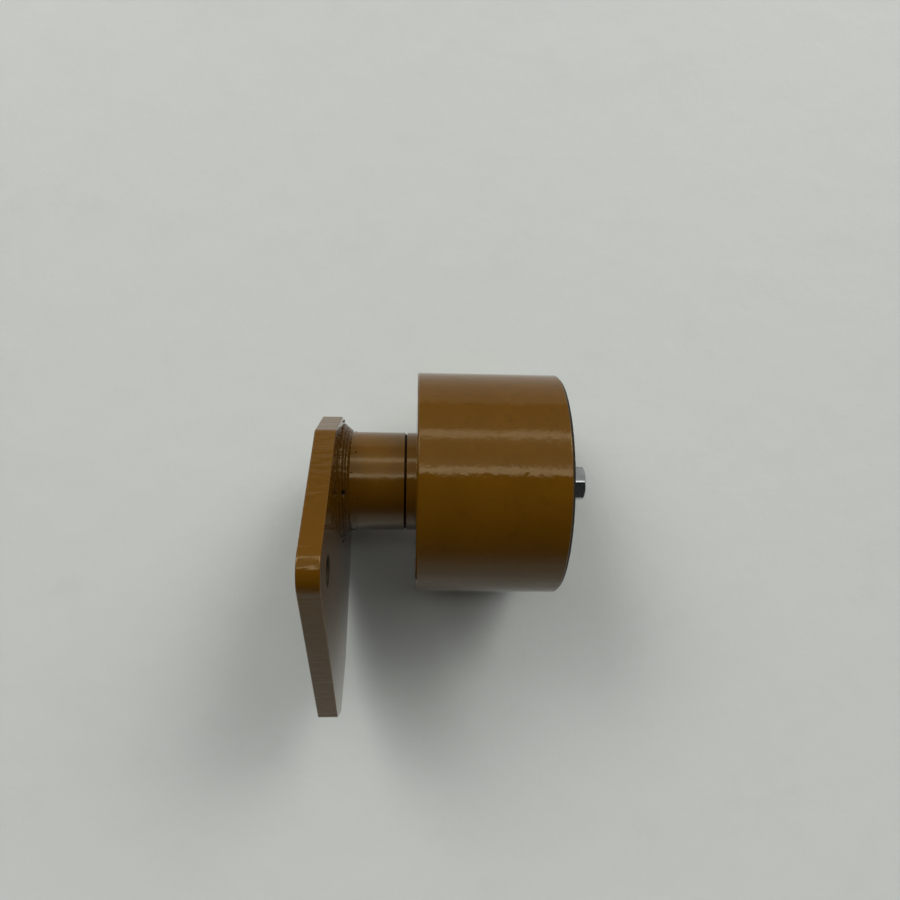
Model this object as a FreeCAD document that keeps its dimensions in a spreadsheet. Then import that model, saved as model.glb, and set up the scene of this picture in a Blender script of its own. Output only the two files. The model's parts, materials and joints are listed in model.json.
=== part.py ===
"""Cantilevered track roller on a bolted mounting plate, as a parametric assembly in millimetres.

Frame: the roller turns about the Y axis. The mounting plate's outer face is the plane y = 0, the free end
of the roller points along +Y, and +Z is up when the roller lies on a floor, which its tread then meets at
the lowest z.
"""
import FreeCAD, Part
import math
import os
import Sketcher

doc = FreeCAD.newDocument("TrackRoller")
sheet = doc.addObject("Spreadsheet::Sheet", "Sizes")
vector = FreeCAD.Vector

SAME_PLACE = 0.001  # millimetres within which two places count as one
LEAST_CUT = 0.01  # cubic millimetres that a cut has to remove
OVERRUN = 1  # millimetres by which a cutting outline reaches past the face it opens

# codes of a sketch's own axes, and of the points of a line or arc in it
HORIZONTAL_AXIS, VERTICAL_AXIS = -1, -2
START, END, CENTRE = 1, 2, 3

DRIVING_SIZES = {
    # mounting plate, with its outline corners as (across, up) from the roller axis
    "plate_thick": 10,
    "crown_across": 32.8,
    "crown_up": 106.4,
    "crown_radius": 12.5,
    "arm_top_across": 119.6,
    "arm_top_up": 17.2,
    "arm_tip_across": 123.2,
    "arm_tip_up": -1.5,
    "arm_heel_across": 101.8,
    "arm_heel_up": -25.9,
    "belly_across": 52,
    "belly_up": -49.2,
    "foot_outer_across": 26,
    "foot_inner_across": 6,
    "back_low_across": -28.8,
    "back_low_up": -17.2,
    "back_high_across": -33.2,
    "back_high_up": 14.4,
    "shoulder_across": -25.4,
    "shoulder_up": 46.6,
    "corner_radius": 5,
    "bolt_hole_dia": 14,
    "high_bolt_across": 36,
    "high_bolt_up": 73,
    "low_bolt_across": 22,
    "low_bolt_up": -40,
    # collar that is welded to the plate
    "collar_dia": 51.5,
    "collar_len": 32,
    "collar_chamfer": 0.4,
    "weld_leg": 5.2,
    "weld_rise": 4.6,
    "back_weld_leg": 3.5,
    # tread shell
    "roller_dia": 115,
    "roller_len": 73.5,
    "rim_chamfer": 1.6,
    "inner_rim_chamfer": 0.8,
    "neck_len": 5,
    "neck_fillet": 1.5,
    "seam_gap": 1,
    # face seal
    "seal_bore_dia": 46,
    "seal_depth": 6.5,
    "seal_lip_clearance": 0.3,
    "seal_lip_len": 5.5,
    "seal_ring_dia": 43,
    "seal_flange": 1.8,
    "seal_body_wall": 2.2,
    "seal_axle_gap": 1,
    "seal_film": 0.06,
    "toric_width": 3,
    "toric_end_gap": 0.4,
    # axle
    "axle_dia": 32,
    "axle_end_gap": 0.5,
    "axle_chamfer": 1,
    # bearings, both of the same size
    "bearing_bore": 25,
    "bearing_dia": 62,
    "bearing_width": 17,
    "ball_dia": 11.1,
    "ball_count": 7,
    "race_clearance": 0.1,
    "race_gap": 5.1,
    "race_chamfer": 0.8,
    "bearing_spacing": 12.5,
    "inner_spacer_wall": 4,
    "outer_spacer_wall": 3,
    "cage_gap": 0.7,
    "cage_end_gap": 1.3,
    "cage_pocket_clearance": 0.15,
    "rivet_dia": 2,
    "rivet_head_dia": 3.2,
    "rivet_head_height": 0.6,
    # clamp on the axle's end
    "clamp_washer_dia": 36,
    "clamp_washer_thick": 4,
    "clamp_bolt_dia": 12,
    "clamp_bolt_flats": 18,
    "clamp_bolt_head": 7.5,
    "clamp_bolt_shank": 28,
    "clamp_hole_spare": 4,
    "bolt_hole_clearance": 0.5,
    "spring_washer_width": 4.2,
    "spring_washer_thick": 2.5,
    "spring_washer_opening": 12,
    # retaining rings
    "bearing_ring_thick": 2,
    "bearing_ring_width": 4.5,
    "bearing_ring_bite": 2,
    "cover_ring_thick": 2.5,
    "cover_ring_width": 5,
    "cover_ring_bite": 2,
    "ring_opening": 26,
    "ring_eye_dia": 2,
    "ring_eye_turn": 7,
    "ring_end_gap": 0.2,
    # end cover
    "cover_dia": 70,
    "cover_seat_gap": 3.5,
    "cover_rim": 8,
    "cover_fit": 0.05,
    "cover_hollow_dia": 46,
    "cover_hollow_depth": 9,
    "cover_pocket_dia": 28,
    "cover_wall": 6,
    "cover_dome_dia": 48,
    "cover_slope": 3,
    "boss_dia": 22,
    "boss_len": 6.1,
    "o_ring_section": 2.6,
    "o_ring_slot": 3.4,
    # filler plug in the cover's boss
    "plug_dia": 10,
    "plug_flats": 17,
    "plug_head": 6.4,
    "plug_shank": 12,
    "plug_turn": -8,
    "plug_washer_dia": 18,
    "plug_washer_thick": 1,
}

STATIONS = {
    # places along the roller axis, from the plate's outer face
    "collar_end": "=plate_thick + collar_len",
    "neck_end": "=collar_end + seam_gap",
    "seam_mid": "=collar_end + seam_gap / 2",
    "shell_face": "=neck_end + neck_len",
    "shell_end": "=shell_face + roller_len",
    "seal_floor": "=seam_gap / 2 + seal_depth",
    "inboard_seat": "=seam_mid + seal_floor + seal_lip_len",
    "inboard_mid": "=inboard_seat + bearing_width / 2",
    "outboard_seat": "=inboard_seat + bearing_width + bearing_spacing",
    "outboard_mid": "=outboard_seat + bearing_width / 2",
    "outboard_face": "=outboard_seat + bearing_width",
    "axle_end": "=outboard_face - axle_end_gap",
    "washer_face": "=outboard_face + clamp_washer_thick",
    "bolt_seat": "=washer_face + spring_washer_thick",
    "bearing_ring_face": "=outboard_face + bearing_ring_thick",
    "cover_seat": "=bearing_ring_face + cover_seat_gap",
    "cover_face": "=cover_seat + cover_rim",
    "cover_ring_face": "=cover_face + cover_ring_thick",
    "cover_pocket_end": "=cover_seat + cover_hollow_depth + cover_wall / 2",
    "dome_face": "=cover_face + cover_wall + cover_slope",
    "boss_face": "=dome_face + boss_len",
    "plug_seat": "=boss_face + plug_washer_thick",
    # radii
    "tread_r": "=roller_dia / 2",
    "collar_r": "=collar_dia / 2",
    "axle_r": "=axle_dia / 2",
    "journal_r": "=bearing_bore / 2",
    "housing_r": "=bearing_dia / 2",
    "seal_bore_r": "=seal_bore_dia / 2",
    "seal_inner_r": "=axle_r + seal_axle_gap",
    "seal_body_r": "=seal_inner_r + seal_body_wall",
    "pitch_r": "=(bearing_bore + bearing_dia) / 4",
    "inner_shoulder_r": "=pitch_r - race_gap / 2",
    "outer_shoulder_r": "=pitch_r + race_gap / 2",
    "seal_lip_r": "=inner_shoulder_r + seal_lip_clearance",
    "cover_r": "=cover_dia / 2",
    "foot_up": "=0 - roller_dia / 2",
}


def fill_sheet():
    """Write every size as one named cell: the name in column A, the value in column B."""
    row = 1
    for name, content in list(DRIVING_SIZES.items()) + list(STATIONS.items()):
        sheet.set(f"A{row}", name)
        sheet.set(f"B{row}", str(content))
        sheet.setAlias(f"B{row}", name)
        row += 1
    doc.recompute()


def bound(text):
    """Expression for the document, from names of cells: every @name becomes Sizes.name."""
    return text.replace("@", "Sizes.")


def value(text):
    """Present value of an expression."""
    result = sheet.evalExpression(bound(text))
    return float(getattr(result, "Value", result))


def new_body(label):
    body = doc.addObject("PartDesign::Body", label)
    body.Label = label
    return body


def new_sketch(body, plane="XY_Plane", turn=None):
    """Sketch on one of the body's own origin planes, optionally turned about the roller axis."""
    sketch = body.newObject("Sketcher::SketchObject", f"{body.Name}_sketch")
    support = [item for item in body.Origin.OriginFeatures if item.Role == plane][0]
    sketch.AttachmentSupport = [(support, "")]
    sketch.MapMode = "FlatFace"
    if turn is not None:
        about_roller = FreeCAD.Rotation(vector(0, 1, 0), value(turn))
        sketch.AttachmentOffset = FreeCAD.Placement(vector(), about_roller)
        sketch.setExpression("AttachmentOffset.Rotation.Angle", bound(turn))
    return sketch


def pin_point(sketch, geometry, point, across, along):
    """Hold one point of a sketch at two expressions; a coordinate of "0" puts it on the axis."""
    held = (("DistanceX", across, VERTICAL_AXIS), ("DistanceY", along, HORIZONTAL_AXIS))
    for kind, text, axis in held:
        if text == "0":
            sketch.addConstraint(Sketcher.Constraint("PointOnObject", geometry, point, axis))
            continue
        constraint = Sketcher.Constraint(kind, HORIZONTAL_AXIS, START, geometry, point, value(text))
        index = sketch.addConstraint(constraint)
        sketch.setExpression(f"Constraints[{index}]", bound(text))


def draw_outline(sketch, corners):
    """Closed outline of straight edges through corners, each given as two expressions."""
    points = [vector(value(across), value(along), 0) for across, along in corners]
    count = len(points)
    first = sketch.GeometryCount
    for index in range(count):
        sketch.addGeometry(Part.LineSegment(points[index], points[(index + 1) % count]))
    for index in range(count):
        following = first + (index + 1) % count
        sketch.addConstraint(Sketcher.Constraint("Coincident", first + index, END, following, START))
    for index, (across, along) in enumerate(corners):
        pin_point(sketch, first + index, START, across, along)


def draw_circle(sketch, across, along, radius):
    circle = Part.Circle(vector(value(across), value(along), 0), vector(0, 0, 1), value(radius))
    geometry = sketch.addGeometry(circle)
    pin_point(sketch, geometry, CENTRE, across, along)
    index = sketch.addConstraint(Sketcher.Constraint("Radius", geometry, value(radius)))
    sketch.setExpression(f"Constraints[{index}]", bound(radius))


def draw_half_disc(sketch, across, along, radius):
    """Half disc whose straight edge, Edge2, is parallel to the roller axis: turned about it, a ball."""
    centre = vector(value(across), value(along), 0)
    size = value(radius)
    reach = vector(0, size, 0)
    circle = Part.Circle(centre, vector(0, 0, 1), size)
    arc = sketch.addGeometry(Part.ArcOfCircle(circle, -math.pi / 2, math.pi / 2))
    line = sketch.addGeometry(Part.LineSegment(centre + reach, centre - reach))
    sketch.addConstraint(Sketcher.Constraint("Coincident", arc, END, line, START))
    sketch.addConstraint(Sketcher.Constraint("Coincident", arc, START, line, END))
    sketch.addConstraint(Sketcher.Constraint("PointOnObject", arc, CENTRE, line))
    sketch.addConstraint(Sketcher.Constraint("Vertical", line))
    pin_point(sketch, arc, CENTRE, across, along)
    index = sketch.addConstraint(Sketcher.Constraint("Radius", arc, size))
    sketch.setExpression(f"Constraints[{index}]", bound(radius))


def add_feature(body, kind, sketch):
    feature = body.newObject(f"PartDesign::{kind}", f"{body.Name}_{kind.lower()}")
    feature.Profile = sketch
    return feature


def turn_profile(body, sketch, axis="V_Axis", cut=False, angle="360"):
    """Turn a sketch about an axis to add material, or to cut it away."""
    before = body.Shape.Volume if cut else 0
    feature = add_feature(body, "Groove" if cut else "Revolution", sketch)
    feature.ReferenceAxis = (sketch, [axis])
    feature.setExpression("Angle", bound(angle))
    doc.recompute()
    if cut and feature.Shape.Volume > before - LEAST_CUT:
        raise RuntimeError(f"{feature.Name} removes nothing")
    return feature


def turned(label, corners, angle="360"):
    """Body of revolution about the roller axis, from an outline of (radius, place along the axis)."""
    body = new_body(label)
    sketch = new_sketch(body)
    draw_outline(sketch, corners)
    turn_profile(body, sketch, angle=angle)
    return body


def ring(inner, outer, start, end):
    """Corners of a plain ring's section."""
    return [(inner, start), (outer, start), (outer, end), (inner, end)]


def turn_cut(body, corners):
    sketch = new_sketch(body)
    draw_outline(sketch, corners)
    return turn_profile(body, sketch, cut=True)


def repeat_around(body, feature, count):
    """Repeat a feature evenly round the roller axis."""
    pattern = body.newObject("PartDesign::PolarPattern", f"{body.Name}_pattern")
    pattern.Originals = [feature]
    pattern.Axis = (feature.Profile[0], ["V_Axis"])
    pattern.Angle = 360
    pattern.setExpression("Occurrences", bound(count))
    body.Tip = pattern
    doc.recompute()


def drill(body, circles):
    """Cut a sketch of circles through the whole body."""
    before = body.Shape.Volume
    pocket = add_feature(body, "Pocket", circles)
    pocket.Type = "ThroughAll"
    doc.recompute()
    if pocket.Shape.isNull() or pocket.Shape.Volume > before - LEAST_CUT:
        raise RuntimeError(f"{pocket.Name} removes nothing")


def dress_edges(body, kind, size, names):
    """Fillet or chamfer the named edges of the body's latest feature."""
    base = body.Tip
    feature = body.newObject(f"PartDesign::{kind}", f"{body.Name}_{kind.lower()}")
    feature.Base = (base, names)
    feature.setExpression("Radius" if kind == "Fillet" else "Size", bound(size))
    body.Tip = feature
    doc.recompute()


def round_edges(body, radius, along):
    """Names of the circular edges about the roller axis with this radius at this place."""
    names = []
    for index, edge in enumerate(body.Shape.Edges, start=1):
        if not isinstance(edge.Curve, Part.Circle):
            continue
        off_radius = abs(edge.Curve.Radius - value(radius))
        off_place = abs(edge.Curve.Center.y - value(along))
        if max(off_radius, off_place) < SAME_PLACE:
            names.append(f"Edge{index}")
    return names


def upright_edges(body, across, up):
    """Names of the straight edges parallel to the roller axis at one corner of an outline."""
    names = []
    for index, edge in enumerate(body.Shape.Edges, start=1):
        if len(edge.Vertexes) != 2 or not isinstance(edge.Curve, Part.Line):
            continue
        ends = [vertex.Point for vertex in edge.Vertexes]
        off_corner = [abs(end.x - value(across)) + abs(end.z - value(up)) for end in ends]
        if max(off_corner) < SAME_PLACE:
            names.append(f"Edge{index}")
    return names


# ---------------------------------------------------------------- fixed side: plate, collar, welds, axle

PLATE_CORNERS = ["crown", "arm_top", "arm_tip", "arm_heel", "belly", "foot_outer", "foot_inner",
                 "back_low", "back_high", "shoulder"]
BACK_WELD_SECTION = [("@axle_r", "0"), ("@axle_r + @back_weld_leg", "0"), ("@axle_r", "@back_weld_leg")]
# three passes laid one on another: shares of the weld's rise and of its leg where each step ends
FRONT_WELD_STEPS = [(1, 0), (0.86, 0.36), (0.44, 0.78), (0, 1)]


def plate_corner(name):
    up = "@foot_up" if name.startswith("foot") else f"@{name}_up"
    return (f"@{name}_across", up)


def make_mounting_plate():
    plate = new_body("mounting_plate")
    outline = new_sketch(plate, "XZ_Plane")
    draw_outline(outline, [plate_corner(name) for name in PLATE_CORNERS])
    pad = add_feature(plate, "Pad", outline)
    pad.setExpression("Length", bound("@plate_thick"))
    pad.Reversed = True
    doc.recompute()
    dress_edges(plate, "Fillet", "@crown_radius", upright_edges(plate, *plate_corner("crown")))
    small_corners = []
    for name in PLATE_CORNERS[1:]:
        small_corners += upright_edges(plate, *plate_corner(name))
    dress_edges(plate, "Fillet", "@corner_radius", small_corners)
    holes = new_sketch(plate, "XZ_Plane")
    draw_circle(holes, "0", "0", "@axle_r")
    draw_circle(holes, "@high_bolt_across", "@high_bolt_up", "@bolt_hole_dia / 2")
    draw_circle(holes, "@low_bolt_across", "@low_bolt_up", "@bolt_hole_dia / 2")
    drill(plate, holes)
    turn_cut(plate, BACK_WELD_SECTION)


def make_welds():
    turned("back_weld", BACK_WELD_SECTION)
    steps = [(f"@collar_r + @weld_rise * {rise}", f"@plate_thick + @weld_leg * {leg}")
             for rise, leg in FRONT_WELD_STEPS]
    turned("front_weld", [("@collar_r", "@plate_thick")] + steps)


def make_hub_collar():
    collar = turned("hub_collar", [
        ("@axle_r", "@plate_thick"),
        ("@collar_r", "@plate_thick"),
        ("@collar_r", "@collar_end"),
        ("@seal_bore_r", "@collar_end"),
        ("@seal_bore_r", "@collar_end - @seal_depth"),
        ("@axle_r", "@collar_end - @seal_depth"),
    ])
    dress_edges(collar, "Chamfer", "@collar_chamfer", round_edges(collar, "@collar_r", "@collar_end"))


def make_stub_axle():
    axle = turned("stub_axle", [
        ("0", "0"),
        ("@axle_r", "0"),
        ("@axle_r", "@inboard_seat"),
        ("@journal_r", "@inboard_seat"),
        ("@journal_r", "@axle_end"),
        ("@clamp_bolt_dia / 2", "@axle_end"),
        ("@clamp_bolt_dia / 2", "@bolt_seat - @clamp_bolt_shank - @clamp_hole_spare"),
        ("0", "@bolt_seat - @clamp_bolt_shank - @clamp_hole_spare - @clamp_bolt_dia / 4"),
    ])
    dress_edges(axle, "Chamfer", "@axle_chamfer", round_edges(axle, "@journal_r", "@axle_end"))


# ---------------------------------------------------------------- face seal, mirrored about the seam

def make_seal_half(label_start, side, film):
    """Metal ring and rubber ring of one half; side is -1 towards the plate and +1 towards the roller."""
    def along(offset):
        return f"@seam_mid + {side} * ({offset})"

    start = "@seal_film" if film else "0"
    turned(f"{label_start}_seal_ring", [
        ("@seal_inner_r", along(start)),
        ("@seal_ring_dia / 2", along(start)),
        ("@seal_ring_dia / 2", along("@seal_flange")),
        ("@seal_body_r", along("@seal_flange")),
        ("@seal_body_r", along("@seal_floor")),
        ("@seal_inner_r", along("@seal_floor")),
    ])
    toric_start = "@seal_flange + @toric_end_gap"
    toric = turned(f"{label_start}_toric_ring", ring(
        "@seal_body_r", "@seal_bore_r", along(toric_start), along(f"{toric_start} + @toric_width")))
    edges = []
    for radius in ("@seal_body_r", "@seal_bore_r"):
        for offset in (toric_start, f"{toric_start} + @toric_width"):
            edges += round_edges(toric, radius, along(offset))
    dress_edges(toric, "Fillet", "@toric_width / 3", edges)


# ---------------------------------------------------------------- bearings

def make_race(label, middle, inner, outer):
    half = "@bearing_width / 2"
    race = turned(label, ring(inner, outer, f"{middle} - {half}", f"{middle} + {half}"))
    groove = new_sketch(race)
    draw_circle(groove, "@pitch_r", middle, "@ball_dia / 2 + @race_clearance")
    turn_profile(race, groove, cut=True)
    seat = inner if "bore" in inner or "journal" in inner else outer
    edges = round_edges(race, seat, f"{middle} - {half}")
    edges += round_edges(race, seat, f"{middle} + {half}")
    dress_edges(race, "Chamfer", "@race_chamfer", edges)


HALF_STEP = "180 / @ball_count"


def make_cage_half(label, middle, side):
    far = f"{middle} + {side} * (@bearing_width / 2 - @cage_end_gap)"
    cage = turned(label, ring("@inner_shoulder_r + @cage_gap", "@outer_shoulder_r - @cage_gap",
                              middle, far))
    pocket = new_sketch(cage)
    draw_half_disc(pocket, "@pitch_r", middle, "@ball_dia / 2 + @cage_pocket_clearance")
    repeat_around(cage, turn_profile(cage, pocket, axis="Edge2", cut=True), "@ball_count")
    rivet_hole = new_sketch(cage, turn=HALF_STEP)
    draw_outline(rivet_hole, ring("@pitch_r", "@pitch_r + @rivet_dia / 2", middle, far))
    repeat_around(cage, turn_profile(cage, rivet_hole, axis="Edge4", cut=True), "@ball_count")


def make_rolling_set(label_start, middle):
    balls = new_body(f"{label_start}_balls")
    balls.AllowCompound = True
    disc = new_sketch(balls)
    draw_half_disc(disc, "@pitch_r", middle, "@ball_dia / 2")
    repeat_around(balls, turn_profile(balls, disc, axis="Edge2"), "@ball_count")

    make_cage_half(f"{label_start}_cage_near", middle, -1)
    make_cage_half(f"{label_start}_cage_far", middle, 1)

    rivets = new_body(f"{label_start}_cage_rivets")
    rivets.AllowCompound = True
    section = new_sketch(rivets, turn=HALF_STEP)
    grip = "(@bearing_width / 2 - @cage_end_gap)"
    shank = "@pitch_r + @rivet_dia / 2"
    head = "@pitch_r + @rivet_head_dia / 2"
    draw_outline(section, [
        ("@pitch_r", f"{middle} - {grip} - @rivet_head_height"),
        (head, f"{middle} - {grip} - @rivet_head_height"),
        (head, f"{middle} - {grip}"),
        (shank, f"{middle} - {grip}"),
        (shank, f"{middle} + {grip}"),
        (head, f"{middle} + {grip}"),
        (head, f"{middle} + {grip} + @rivet_head_height"),
        ("@pitch_r", f"{middle} + {grip} + @rivet_head_height"),
    ])
    repeat_around(rivets, turn_profile(rivets, section, axis="Edge8"), "@ball_count")


def make_bearing(label_start, middle):
    make_race(f"{label_start}_inner_race", middle, "@journal_r", "@inner_shoulder_r")
    make_race(f"{label_start}_outer_race", middle, "@outer_shoulder_r", "@housing_r")
    make_rolling_set(label_start, middle)


def make_spacers():
    start = "@inboard_seat + @bearing_width"
    turned("inner_spacer", ring("@journal_r", "@journal_r + @inner_spacer_wall",
                                start, "@outboard_seat"))
    turned("outer_spacer", ring("@housing_r - @outer_spacer_wall", "@housing_r",
                                start, "@outboard_seat"))


# ---------------------------------------------------------------- hex-headed screws

# a corner is kept this many degrees off the sketch's axis, where it could not be dimensioned
OFF_AXIS = 1e-6
# the bevel starts at this share of the half width across flats and runs out past the corners
BEVEL_START, BEVEL_END = 0.95, 1.02
BEVEL_ANGLE = "30 deg"
SHANK_TIP_SHARE = 0.1


def make_hex_screw(label, flats, head, shank_dia, shank_len, seat, turn):
    """Hex-headed screw on the roller axis, its head beyond the seat and its shank behind it."""
    screw = new_body(label)
    outline = new_sketch(screw, "XZ_Plane")
    corner = f"{flats} / 2 / cos(30 deg)"
    angles = [f"({60 * step + OFF_AXIS} + {turn}) * 1 deg" for step in range(6)]
    draw_outline(outline, [(f"{corner} * sin({angle})", f"{corner} * cos({angle})") for angle in angles])
    outline.setExpression("AttachmentOffset.Base.z", bound(f"-1 * ({seat})"))
    pad = add_feature(screw, "Pad", outline)
    pad.setExpression("Length", bound(head))
    pad.Reversed = True
    doc.recompute()
    top = f"{seat} + {head}"
    inner = f"{flats} / 2 * {BEVEL_START}"
    outer = f"{corner} * {BEVEL_END}"
    turn_cut(screw, [
        (outer, f"{top} - ({outer} - {inner}) * tan({BEVEL_ANGLE})"),
        (outer, f"{top} + {OVERRUN}"),
        (inner, f"{top} + {OVERRUN}"),
        (inner, top),
    ])
    shank = new_sketch(screw)
    tip = f"{shank_dia} * {SHANK_TIP_SHARE}"
    draw_outline(shank, [
        ("0", f"{seat} - {shank_len}"),
        (f"{shank_dia} / 2 - {tip}", f"{seat} - {shank_len}"),
        (f"{shank_dia} / 2", f"{seat} - {shank_len} + {tip}"),
        (f"{shank_dia} / 2", seat),
        ("0", seat),
    ])
    turn_profile(screw, shank)


# ---------------------------------------------------------------- clamp, retaining rings and cover

def make_axle_clamp():
    turned("clamp_washer", ring("@clamp_bolt_dia / 2 + @bolt_hole_clearance", "@clamp_washer_dia / 2",
                                "@outboard_face", "@washer_face"))
    turned("spring_washer", ring("@clamp_bolt_dia / 2 + @bolt_hole_clearance / 2",
                                 "@clamp_bolt_dia / 2 + @bolt_hole_clearance / 2 + @spring_washer_width",
                                 "@washer_face", "@bolt_seat"),
           angle="360 - @spring_washer_opening")
    make_hex_screw("axle_bolt", "@clamp_bolt_flats", "@clamp_bolt_head", "@clamp_bolt_dia",
                   "@clamp_bolt_shank", "@bolt_seat", "0")


def make_retaining_ring(label, groove_r, width, start, thick):
    """Open ring that springs into a groove of the shell, with one eye at each end."""
    outer = f"{groove_r} - @ring_end_gap"
    middle = f"{outer} - {width} / 2"
    body = turned(label, ring(f"{outer} - {width}", outer, start, f"{start} + {thick}"),
                  angle="360 - @ring_opening")
    for turn in ("@ring_eye_turn", "-1 * (@ring_opening + @ring_eye_turn)"):
        eye = new_sketch(body, turn=turn)
        draw_outline(eye, ring(middle, f"{middle} + @ring_eye_dia / 2",
                               f"{start} - {OVERRUN}", f"{start} + {thick} + {OVERRUN}"))
        turn_profile(body, eye, axis="Edge4", cut=True)


def make_end_cover():
    cover = turned("end_cover", [
        ("@plug_dia / 2", "@cover_pocket_end"),
        ("@cover_pocket_dia / 2", "@cover_pocket_end"),
        ("@cover_pocket_dia / 2", "@cover_seat + @cover_hollow_depth"),
        ("@cover_hollow_dia / 2", "@cover_seat + @cover_hollow_depth - @cover_slope"),
        ("@cover_hollow_dia / 2", "@cover_seat"),
        ("@cover_r - @cover_fit", "@cover_seat"),
        ("@cover_r - @cover_fit", "@cover_face"),
        ("@cover_dome_dia / 2 + @cover_slope", "@cover_face"),
        ("@cover_dome_dia / 2 - @cover_slope", "@cover_face + @cover_wall"),
        ("@boss_dia / 2 + @cover_slope", "@dome_face"),
        ("@boss_dia / 2", "@boss_face"),
        ("@plug_dia / 2", "@boss_face"),
    ])
    slot_mid = "@cover_seat + @cover_rim / 2"
    turn_cut(cover, ring("@cover_r - @o_ring_section", f"@cover_r + {OVERRUN}",
                         f"{slot_mid} - @o_ring_slot / 2", f"{slot_mid} + @o_ring_slot / 2"))
    o_ring = new_body("cover_o_ring")
    section = new_sketch(o_ring)
    draw_circle(section, "@cover_r - @o_ring_section / 2", slot_mid, "@o_ring_section / 2")
    turn_profile(o_ring, section)


def make_filler_plug():
    turned("plug_washer", ring("@plug_dia / 2", "@plug_washer_dia / 2", "@boss_face", "@plug_seat"))
    make_hex_screw("filler_plug", "@plug_flats", "@plug_head", "@plug_dia", "@plug_shank", "@plug_seat",
                   "@plug_turn")


def make_roller_shell():
    shell = turned("roller_shell", [
        ("@seal_bore_r", "@neck_end"),
        ("@collar_r", "@neck_end"),
        ("@collar_r", "@shell_face"),
        ("@tread_r", "@shell_face"),
        ("@tread_r", "@shell_end"),
        ("@cover_r", "@shell_end"),
        ("@cover_r", "@cover_seat"),
        ("@housing_r", "@cover_seat"),
        ("@housing_r", "@inboard_seat"),
        ("@seal_lip_r", "@inboard_seat"),
        ("@seal_lip_r", "@seam_mid + @seal_floor"),
        ("@seal_bore_r", "@seam_mid + @seal_floor"),
    ])
    turn_cut(shell, ring(f"@housing_r - {OVERRUN}", "@housing_r + @bearing_ring_bite",
                         "@outboard_face", "@bearing_ring_face"))
    turn_cut(shell, ring(f"@cover_r - {OVERRUN}", "@cover_r + @cover_ring_bite",
                         "@cover_face", "@cover_ring_face"))
    dress_edges(shell, "Chamfer", "@rim_chamfer", round_edges(shell, "@tread_r", "@shell_end"))
    dress_edges(shell, "Chamfer", "@inner_rim_chamfer", round_edges(shell, "@tread_r", "@shell_face"))
    dress_edges(shell, "Fillet", "@neck_fillet", round_edges(shell, "@collar_r", "@shell_face"))


def sub_parts():
    return [item for item in doc.Objects if item.TypeId == "PartDesign::Body"]


def check_document():
    """Stop if any object failed to build or any sub-part is empty or broken."""
    doc.recompute()
    for item in doc.Objects:
        if "Invalid" in item.State or "Error" in item.State:
            raise RuntimeError(f"{item.Name}: {item.State}")
    for body in sub_parts():
        if body.Shape.isNull() or not body.Shape.isValid() or not body.Shape.Solids:
            raise RuntimeError(f"{body.Label} has no valid solid")


def write_parts():
    os.makedirs("parts", exist_ok=True)
    for body in sub_parts():
        body.Shape.exportStep(f"parts/{body.Label}.step")


fill_sheet()
make_mounting_plate()
make_welds()
make_hub_collar()
make_stub_axle()
make_seal_half("fixed", -1, False)
make_seal_half("turning", 1, True)
make_bearing("inboard", "@inboard_mid")
make_bearing("outboard", "@outboard_mid")
make_spacers()
make_axle_clamp()
make_retaining_ring("bearing_snap_ring", "@housing_r + @bearing_ring_bite", "@bearing_ring_width",
                    "@outboard_face", "@bearing_ring_thick")
make_roller_shell()
make_end_cover()
make_retaining_ring("cover_snap_ring", "@cover_r + @cover_ring_bite", "@cover_ring_width",
                    "@cover_face", "@cover_ring_thick")
make_filler_plug()
check_document()
write_parts()
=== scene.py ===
"""Looks for the cantilevered track roller: enamel over turned and flame-cut steel, weld, zinc, black steel.

Everything is in metres in the part's own frame: the roller turns about Y, the plate's outer face is y = 0 and
+Z is up.
"""
import json
import math
import random

import bmesh
import bpy
from mathutils import Matrix, Vector, noise


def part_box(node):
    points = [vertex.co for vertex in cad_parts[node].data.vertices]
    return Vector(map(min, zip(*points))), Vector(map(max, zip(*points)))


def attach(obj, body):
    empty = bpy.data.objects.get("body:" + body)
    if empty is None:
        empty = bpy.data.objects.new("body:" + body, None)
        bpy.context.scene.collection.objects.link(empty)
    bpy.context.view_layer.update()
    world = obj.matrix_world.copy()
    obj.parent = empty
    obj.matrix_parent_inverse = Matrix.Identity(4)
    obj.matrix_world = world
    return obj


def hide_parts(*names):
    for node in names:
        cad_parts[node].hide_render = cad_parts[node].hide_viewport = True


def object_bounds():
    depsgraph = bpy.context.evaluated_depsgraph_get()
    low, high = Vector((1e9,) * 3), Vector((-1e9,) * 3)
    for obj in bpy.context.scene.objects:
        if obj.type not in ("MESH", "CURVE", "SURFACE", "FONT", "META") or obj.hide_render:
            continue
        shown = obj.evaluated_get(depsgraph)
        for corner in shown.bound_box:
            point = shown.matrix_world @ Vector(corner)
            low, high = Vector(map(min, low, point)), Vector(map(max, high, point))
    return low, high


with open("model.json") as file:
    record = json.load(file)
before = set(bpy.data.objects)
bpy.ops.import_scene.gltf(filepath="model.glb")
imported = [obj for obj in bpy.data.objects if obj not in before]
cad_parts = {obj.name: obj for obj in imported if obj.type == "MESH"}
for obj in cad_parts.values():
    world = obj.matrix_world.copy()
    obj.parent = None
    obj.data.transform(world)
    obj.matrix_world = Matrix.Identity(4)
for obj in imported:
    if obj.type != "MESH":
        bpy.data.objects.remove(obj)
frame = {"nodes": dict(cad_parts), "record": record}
cad_low, cad_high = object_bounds()

MM = 0.001
SEGMENTS = 288


# ---------------------------------------------------------------- sizes taken from the frame

def radius_of(node):
    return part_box(node)[1].x


def span_of(node):
    low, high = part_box(node)
    return low.y, high.y


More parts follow.
